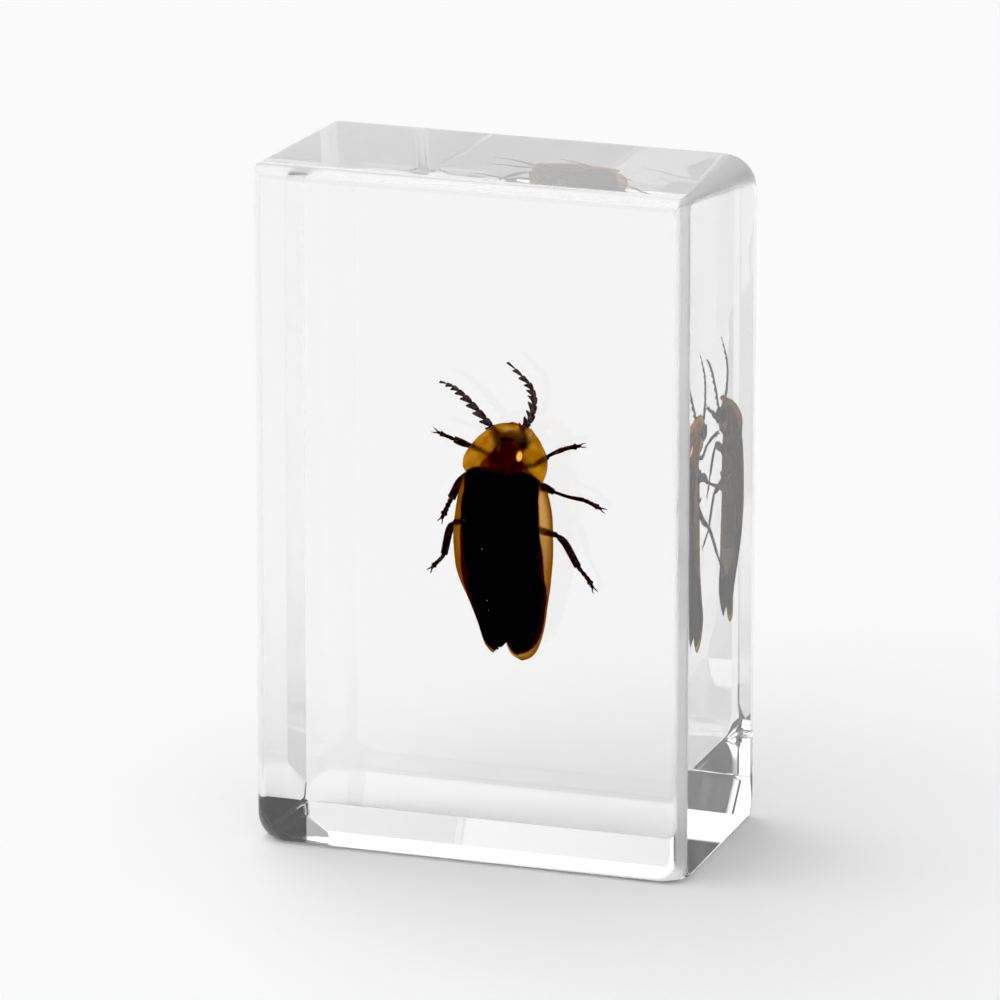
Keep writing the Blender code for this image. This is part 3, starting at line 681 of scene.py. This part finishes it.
# The right jaw and feeler, as points and half widths, with x from the middle of the head
JAW, JAW_RADII = [(0.12, 6.05, 25.4), (0.25, 6.32, 25.65), (0.03, 6.42, 25.87)], [0.14, 0.11, 0.03]
FEELER = [(0.28, 6.1, 25.2), (0.42, 6.4, 25.22), (0.4, 6.62, 25.4), (0.3, 6.72, 25.65)]
FEELER_RADII = (0.07, 0.08, 0.1)
EYE_RADIUS, EYE_SPREAD, EYE_DEPTH, EYE_Z = 0.55, 0.72, 5.85, 25.35
EYE_FACETS = 14.0               # for each millimetre
SKULL, SKULL_DEEP, EYE_BLACK = (0.5, 0.28, 0.15, 1), (0.25, 0.12, 0.06, 1), (0.006, 0.004, 0.004, 1)


def along_path(points, at):
    """Places on a smooth path through points, from 0 at the first to 1 at the last."""
    places = np.linspace(0, 1, len(points))
    return np.stack([through(list(zip(places, level)), at) for level in np.array(points, float).T], axis=-1)


def limb(points, radii, flatness=1.0, steps=14, around=12):
    """A closed limb along a smooth path: its half width at each point, and its depth as a share of that."""
    at = np.linspace(0, 1, steps)
    path = along_path(points, at)
    wide = through(list(zip(np.linspace(0, 1, len(radii)), radii)), at)
    along = np.gradient(path, axis=0)
    along /= np.linalg.norm(along, axis=1, keepdims=True)
    aside = np.cross(along, (0.0, 1.0, 0.0))
    aside /= np.maximum(np.linalg.norm(aside, axis=1, keepdims=True), 1e-6)
    outward = np.cross(aside, along)
    turns = 2 * math.pi * np.arange(around) / around
    return loft([middle + radius * np.outer(np.cos(turns), a) + flatness * radius * np.outer(np.sin(turns), o)
                 for middle, a, o, radius in zip(path, aside, outward, wide)])


def skull_shape(x, y, z):
    """Flatter in front, drawn in to a short neck at the nape and to the mouth."""
    return x * (1 - 0.25 * z), y * (1 - 0.15 * max(0, -y)), z


head_parts = [rounded((HEAD_X, HEAD_DEPTH, HEAD_Z), HEAD_SIZES, shape=skull_shape)]
for side in (-1, 1):
    jaw, feeler = [[(HEAD_X + side * x, y, z) for x, y, z in points] for points in (JAW, FEELER)]
    head_parts.append(limb(jaw, JAW_RADII, 0.6))
    for first, second, radius in zip(feeler, feeler[1:], FEELER_RADII):
        head_parts.append(limb([first, second], [radius * 0.7, radius, radius * 0.8], steps=8))
skull = finished("head", joined("head", head_parts),
                 clouded("head_chitin", 2.0, 12.0, SKULL_DEEP, SKULL, transmission=0.9))
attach(skull, "root")
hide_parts("firefly")

eye_finish = cuticle("eye_black", roughness=0.25)
eye_tree = eye_finish.node_tree
facets = add_node(eye_tree, "ShaderNodeTexVoronoi", [
    ("Vector", place_on(eye_tree)), ("Scale", EYE_FACETS / MM), ("Randomness", 0.2)],
    feature="SMOOTH_F1").outputs["Distance"]
paint(eye_finish, blended(eye_tree, noise(eye_tree, 3.0), EYE_BLACK, CHITIN), facets)
eyes = finished("eyes", joined("eyes", [
    rounded((HEAD_X + side * EYE_SPREAD, EYE_DEPTH, EYE_Z), [EYE_RADIUS] * 3, 24, 36)
    for side in (-1, 1)]), eye_finish)
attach(eyes, "root")
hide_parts("firefly")


# -------- the antennae
# Two saw-toothed antennae of eleven flat joints of dark chitin, rooted in the head, each joint drawn out
# into a tooth on one side that leans on towards the tip. Each list of points runs from the head.
ANTENNAE = {
    "right_antenna": [(0.75, 5.75, 25.75), (0.98, 5.7, 26.15), (1.56, 5.6, 27.03), (1.75, 5.55, 28.13),
                      (1.53, 5.6, 28.94), (0.83, 5.65, 29.7), (-0.04, 5.66, 30.46)],
    "left_antenna": [(-0.5, 5.75, 25.55), (-0.78, 5.7, 25.85), (-1.36, 5.6, 26.5), (-2.2, 5.55, 27.4),
                     (-3.0, 5.55, 28.14), (-3.7, 5.56, 28.6), (-4.51, 5.56, 28.84)],
}
ANTENNA_JOINTS, JOINT_SHARE, TIP_TAPER = 11, 0.99, 0.72
STEM, STEM_DEPTH, TOOTH, TOOTH_CURVE, TOOTH_LEAN, FIRST_TOOTH = 0.225, 0.6, 0.34, 1.3, 0.5, 0.1
ANTENNA_DARK, ANTENNA_PALE = (0.06, 0.04, 0.042, 1), (0.2, 0.14, 0.14, 1)


def antenna_joint(keys, start, end, taper):
    """One flat joint along its stretch of the path through the keys, with its tooth."""
    steps, around = 9, 14
    rings = []
    for step in range(steps):
        share = step / (steps - 1)
        t = start + (end - start) * (JOINT_SHARE * share)
        here = along_path(keys, t)
        along = along_path(keys, min(1, t + 0.01)) - along_path(keys, max(0, t - 0.01))
        along /= np.linalg.norm(along)
        aside = np.array([-along[2], 0.0, along[0]])
        round_end = math.sqrt(max(0.3, 1 - (2 * share - 1) ** 8))
        stem = STEM * taper * (0.75 + 0.25 * share) * round_end
        tooth = TOOTH * taper * share ** TOOTH_CURVE * (1 if start > 0 else FIRST_TOOTH)
        ring = []
        for k in range(around):
            turn = 2 * math.pi * k / around
            out = max(0.0, math.cos(turn))
            ring.append(here + aside * (stem * math.cos(turn) + tooth * out)
                        + along * TOOTH_LEAN * tooth * out
                        + np.array([0, 1, 0]) * stem * STEM_DEPTH * math.sin(turn) * (1 - 0.5 * out))
        rings.append(ring)
    return loft(rings)


def antenna(keys):
    """The joints of one antenna, from the head to its thin tip."""
    return [antenna_joint(keys, k / ANTENNA_JOINTS, (k + 1) / ANTENNA_JOINTS,
                          1 - TIP_TAPER * (k / (ANTENNA_JOINTS - 1)) ** 3) for k in range(ANTENNA_JOINTS)]


antenna_finish = clouded("antenna_chitin", 2.5, 18.0, ANTENNA_DARK, ANTENNA_PALE)
limbs = []
for name, keys in ANTENNAE.items():
    feeler = finished(name, joined(name, antenna(keys)), antenna_finish)
    limbs.append(feeler)
    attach(feeler, "root")
    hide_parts("firefly")


# -------- the legs
# Six thin jointed legs: thigh, flattened shin, a foot of five joints and a pair of hooked claws, dried
# in the crouch they were set in. Each leg's lists run from the hip outwards: the thigh's points and half
# widths, the shin's beyond the knee, and the foot's points beyond the ankle and its half width.
LEGS = {
    "right_fore": ([(0.5, 4.6, 23.9), (1.66, 4.95, 24.0), (2.7, 5.05, 24.67)], [0.06, 0.14, 0.17],
                   [(3.1, 5.25, 24.9), (3.61, 5.6, 25.12)], [0.09, 0.11, 0.15],
                   [(4.0, 5.85, 25.24), (4.61, 6.2, 25.34)], 0.12),
    "right_middle": ([(0.6, 4.6, 22.6), (2.2, 4.95, 22.7), (3.15, 5.0, 22.41)], [0.24, 0.25, 0.17],
                     [(4.0, 5.6, 22.07), (4.92, 6.0, 21.89)], [0.09, 0.1, 0.13],
                     [(5.4, 6.4, 21.6), (5.9, 6.65, 21.3)], 0.12),
    "right_hind": ([(0.8, 4.6, 20.9), (2.26, 4.8, 19.87), (3.4, 4.75, 19.66)], [0.24, 0.22, 0.15],
                   [(3.78, 5.15, 19.2), (4.5, 6.1, 17.5)], [0.09, 0.2, 0.22, 0.21],
                   [(4.75, 6.25, 17.15), (5.15, 6.5, 16.6), (5.4, 6.62, 16.1)], 0.12),
    "left_fore": ([(-0.4, 4.6, 24.0), (-1.4, 4.9, 24.6), (-2.23, 4.95, 24.88)], [0.08, 0.13, 0.17],
                  [(-3.0, 5.02, 25.08), (-3.45, 5.08, 25.22)], [0.12, 0.21, 0.19],
                  [(-4.0, 5.15, 25.38), (-4.6, 5.25, 25.56)], 0.11),
    "left_middle": ([(-0.5, 4.6, 22.7), (-1.8, 4.85, 23.0), (-2.63, 4.9, 23.1)], [0.24, 0.25, 0.18],
                    [(-3.15, 5.05, 22.4), (-3.68, 5.2, 21.35)], [0.12, 0.22, 0.23],
                    [(-3.85, 5.25, 21.0), (-4.1, 5.3, 20.45), (-4.35, 5.35, 19.95)], 0.13),
    "left_hind": ([(-0.7, 4.55, 20.9), (-2.4, 4.65, 20.14), (-3.4, 4.5, 19.88)], [0.24, 0.22, 0.15],
                  [(-3.68, 4.65, 19.4), (-4.17, 5.2, 17.65)], [0.1, 0.21, 0.22, 0.2],
                  [(-4.35, 5.3, 17.35), (-4.8, 5.5, 16.9), (-5.1, 5.65, 16.55)], 0.11),
}
LEG_WIDE, TOE_WIDE = 1.18, 1.3
# Each joint of the foot: where it starts and ends along it, and its width
FOOT_JOINTS = [(0, 0.3, 1.0), (0.3, 0.5, 1.0), (0.5, 0.68, 1.0), (0.68, 0.84, 1.35), (0.84, 1.0, 0.8)]
CLAW_MIDDLE, CLAW_END, CLAW_RADII = (0.22, 0.12), (0.45, 0.16), [0.05, 0.045, 0.012]
LEG_DARK, LEG_BROWN = (0.035, 0.012, 0.01, 1), (0.13, 0.055, 0.042, 1)


def foot(points, radius):
    """Five short joints, the fourth broadest, and the two claws."""
    parts = []
    for start, end, share in FOOT_JOINTS:
        first, last = along_path(points, start), along_path(points, end)
        wide = radius * share
        parts.append(limb([first, (first + last) / 2, last], [wide * 0.6, wide * 0.9, wide, wide * 0.85], 0.6,
                          steps=9))
    along = along_path(points, 1.0) - along_path(points, 0.9)
    along /= np.linalg.norm(along)
    aside = np.cross(along, (0.0, 1.0, 0.0))
    root = along_path(points, 0.97)
    for side in (-1, 1):
        middle, end = [root + along * far + aside * side * wide for far, wide in (CLAW_MIDDLE, CLAW_END)]
        parts.append(limb([root, middle, end + np.array([0, 0.05, 0])], CLAW_RADII, steps=8, around=8))
    return parts


leg_finish = cuticle("leg_chitin")
leg_tree = leg_finish.node_tree
leg_clouds = step_between(leg_tree, noise(leg_tree, 2.2), 0.35, 0.75)
paint(leg_finish, blended(leg_tree, leg_clouds, LEG_DARK, LEG_BROWN), noise(leg_tree, 16.0))
for name, (thigh, thigh_radii, shin, shin_radii, toes, toe_radius) in LEGS.items():
    shin = thigh[-1:] + shin
    toes = shin[-1:] + toes
    parts = [limb(thigh, [LEG_WIDE * radius for radius in thigh_radii], 0.8, 20, 16),
             limb(shin, [LEG_WIDE * radius for radius in shin_radii], 0.55, 24, 16)]
    leg = finished(name + "_leg", joined(name, parts + foot(toes, TOE_WIDE * toe_radius)), leg_finish)
    limbs.append(leg)
    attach(leg, "root")
    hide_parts("firefly")


# -------- the bristles
# Short fine bristles of dark chitin that stand off the legs and antennae, grown evenly over their skin and
# leaning down towards the tips, each a little different in length.
BRISTLES_PER_MM2, BRISTLE_LENGTH, BRISTLE_RADIUS, BRISTLE_SEED = 16.0, 0.13, 0.008, 5
BRISTLE_LEAN, BRISTLE_SIZES = (0.0, 0.1, -0.45), (0.5, 1.3)
BRISTLE_DARK, BRISTLE_PALE = (0.02, 0.01, 0.008, 1), (0.16, 0.09, 0.06, 1)


def bristle_tree(material):
    """A tree of nodes that strews leaning cones over a surface and keeps only the cones."""
    tree = bpy.data.node_groups.new("bristles", "GeometryNodeTree")
    tree.interface.new_socket("Surface", in_out="INPUT", socket_type="NodeSocketGeometry")
    for label in ("Density", "Length", "Radius"):
        tree.interface.new_socket(label, in_out="INPUT", socket_type="NodeSocketFloat")
    tree.interface.new_socket("Seed", in_out="INPUT", socket_type="NodeSocketInt")
    tree.interface.new_socket("Bristles", in_out="OUTPUT", socket_type="NodeSocketGeometry")
    given = tree.nodes.new("NodeGroupInput").outputs
    strewn = add_node(tree, "GeometryNodeDistributePointsOnFaces", [
        ("Mesh", given["Surface"]), ("Density", given["Density"]), ("Seed", given["Seed"])])
    cone = add_node(tree, "GeometryNodeMeshCone", [
        ("Vertices", 5), ("Radius Top", 0.0), ("Radius Bottom", given["Radius"]), ("Depth", given["Length"])])
    lean = add_node(tree, "ShaderNodeVectorMath", [(0, strewn.outputs["Normal"]), (1, BRISTLE_LEAN)],
                    operation="ADD")
    aim = add_node(tree, "FunctionNodeAlignRotationToVector", [("Vector", lean.outputs["Vector"])], axis="Z")
    size = add_node(tree, "FunctionNodeRandomValue", [
        (2, BRISTLE_SIZES[0]), (3, BRISTLE_SIZES[1]), ("Seed", given["Seed"])], data_type="FLOAT")
    planted = add_node(tree, "GeometryNodeInstanceOnPoints", [
        ("Points", strewn.outputs["Points"]), ("Instance", cone.outputs["Mesh"]),
        ("Rotation", aim.outputs["Rotation"]), ("Scale", size.outputs[1])])
    real = add_node(tree, "GeometryNodeRealizeInstances", [("Geometry", planted.outputs["Instances"])])
    dressed = add_node(tree, "GeometryNodeSetMaterial", [
        ("Geometry", real.outputs["Geometry"]), ("Material", material)])
    tree.links.new(dressed.outputs["Geometry"], tree.nodes.new("NodeGroupOutput").inputs["Bristles"])
    return tree


bristle_finish = cuticle("bristle_chitin")
bristle_colours = bristle_finish.node_tree
paint(bristle_finish, blended(bristle_colours, noise(bristle_colours, 4.0), BRISTLE_DARK, BRISTLE_PALE))
skin = bmesh.new()
for part in limbs:
    skin.from_mesh(part.data)
carrier_mesh = bpy.data.meshes.new("bristle_carrier")
skin.to_mesh(carrier_mesh)
skin.free()
carrier = placed("bristle_carrier", carrier_mesh)
strewer = carrier.modifiers.new("Bristles", "NODES")
strewer.node_group = bristle_tree(bristle_finish)
for item in strewer.node_group.interface.items_tree:
    value = {"Density": BRISTLES_PER_MM2 / MM ** 2, "Length": BRISTLE_LENGTH * MM,
             "Radius": BRISTLE_RADIUS * MM, "Seed": BRISTLE_SEED}.get(item.name)
    if value is not None:
        strewer[item.identifier] = value
bristle_mesh = bpy.data.meshes.new_from_object(carrier.evaluated_get(bpy.context.evaluated_depsgraph_get()))
bpy.data.objects.remove(carrier)
bristle_mesh.name = "bristles"
bristles = placed("bristles", bristle_mesh)
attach(bristles, "root")
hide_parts("firefly")


# -------- the dust
# A few pale crumbs of dust that were on the wing cases when the resin was poured, each a small rough
# flake lying on the shell.
CRUMBS = [(-2.32, 20.45, 0.05), (-1.05, 18.75, 0.045), (-0.95, 15.2, 0.05), (-0.95, 14.5, 0.04),
          (1.85, 13.05, 0.045), (2.4, 14.2, 0.04)]
CRUMB_PALE, CRUMB_GREY = (0.45, 0.42, 0.38, 1), (0.25, 0.22, 0.2, 1)


def crumb_shape(x, y, z):
    """A rough flake."""
    uneven = 1 + 0.22 * math.sin(5 * x + 3 * z) * math.sin(4 * z + 2)
    return x * uneven, y * uneven, z * uneven


crumbs = []
for x, z, size in CRUMBS:
    hits = [case.ray_cast((x * MM, -BLOCK_DEPTH / 2 * MM, z * MM), (0, 1, 0)) for case in cases]
    depth = min(spot.y for hit, spot, normal, face in hits if hit) / MM
    crumbs.append(rounded((x, depth, z), (size, 0.5 * size, 0.8 * size), 10, 14, crumb_shape))
dust = finished("dust", joined("dust", crumbs),
                clouded("dust_crumbs", 20.0, 30.0, CRUMB_GREY, CRUMB_PALE, roughness=0.8))
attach(dust, "root")
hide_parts("firefly")


# -------- the studio
# A plain pale floor under soft even light, seen through a long lens from the front, a little from the
# right and above. The room is bright overhead and behind on the left, and dim all round lower down.
FLOOR_SIZE = 6000.0
FLOOR_DROP = 0.03               # air under the block's base
CAMERA_AZIMUTH, CAMERA_ELEVATION = math.radians(18.8572), math.radians(16.3472)
CAMERA_DISTANCE, CAMERA_TARGET = 619.21, Vector((-0.4724, 0.0, 21.5084))
CAMERA_LENS, SENSOR_WIDTH = 355.65, 36.0
# Each bright part of the room: its strength, which way it is, and its reach, from its edge to its core
OVERHEAD, OVERHEAD_DIRECTION, OVERHEAD_REACH = 1.7, (-0.35, -0.1, 0.93), (58, 38)
WINDOW, WINDOW_DIRECTION, WINDOW_REACH = 1.6, (-0.618, 0.736, 0.276), (38, 16)
LOW_SKY = 0.12
BLACK_POINT = 0.06
LIGHT_BOUNCES = 48              # between the block's polished faces

paper = new_material("pale_floor", Base_Color=(0.95, 0.95, 0.95, 1), Roughness=0.9)
paper.node_tree.nodes["Principled BSDF"].inputs["Specular IOR Level"].default_value = 0.0
floor_mesh = bpy.data.meshes.new("floor")
floor_corners = [(x * FLOOR_SIZE / 2, y * FLOOR_SIZE / 2, -FLOOR_DROP)
                 for x, y in ((-1, -1), (1, -1), (1, 1), (-1, 1))]
floor_mesh.from_pydata(floor_corners, [], [(0, 1, 2, 3)])
finished("floor", floor_mesh, paper)

world = bpy.data.worlds.new("studio")
world.use_nodes = True
sky = world.node_tree
direction = add_node(sky, "ShaderNodeTexCoord").outputs["Generated"]


def lobe(middle, reach, low, high):
    """Light that grows from low to high as the direction comes from the edge to the core of its reach."""
    edge, core = (math.cos(math.radians(angle)) for angle in reach)
    facing = add_node(sky, "ShaderNodeVectorMath", [(0, direction), (1, middle)], operation="DOT_PRODUCT")
    return add_node(sky, "ShaderNodeMapRange",
                    [("Value", facing.outputs["Value"]), ("From Min", edge), ("From Max", core),
                     ("To Min", low), ("To Max", high)], interpolation_type="SMOOTHSTEP").outputs["Result"]


brightness = math_node(sky, "MAXIMUM", lobe(OVERHEAD_DIRECTION, OVERHEAD_REACH, LOW_SKY, OVERHEAD),
                       lobe(WINDOW_DIRECTION, WINDOW_REACH, 0.0, WINDOW))
sky.links.new(brightness, sky.nodes["Background"].inputs["Strength"])
sky.nodes["Background"].inputs["Color"].default_value = (1, 1, 1, 1)
bpy.context.scene.world = world

view = bpy.context.scene.view_settings
view.view_transform = "Standard"
view.use_curve_mapping = True
view.curve_mapping.black_level = (BLACK_POINT, BLACK_POINT, BLACK_POINT)
view.curve_mapping.update()

lens = bpy.data.cameras.new("camera")
lens.lens = CAMERA_LENS
lens.sensor_width = SENSOR_WIDTH
lens.clip_start, lens.clip_end = 0.01, 20.0
camera = placed("camera", lens)
outwards = Vector((math.sin(CAMERA_AZIMUTH) * math.cos(CAMERA_ELEVATION),
                   -math.cos(CAMERA_AZIMUTH) * math.cos(CAMERA_ELEVATION), math.sin(CAMERA_ELEVATION)))
camera.location = (CAMERA_TARGET + CAMERA_DISTANCE * outwards) * MM
camera.rotation_euler = outwards.to_track_quat("Z", "Y").to_euler()
bpy.context.scene.camera = camera

cycles = bpy.context.scene.cycles
cycles.max_bounces = cycles.glossy_bounces = cycles.transmission_bounces = LIGHT_BOUNCES
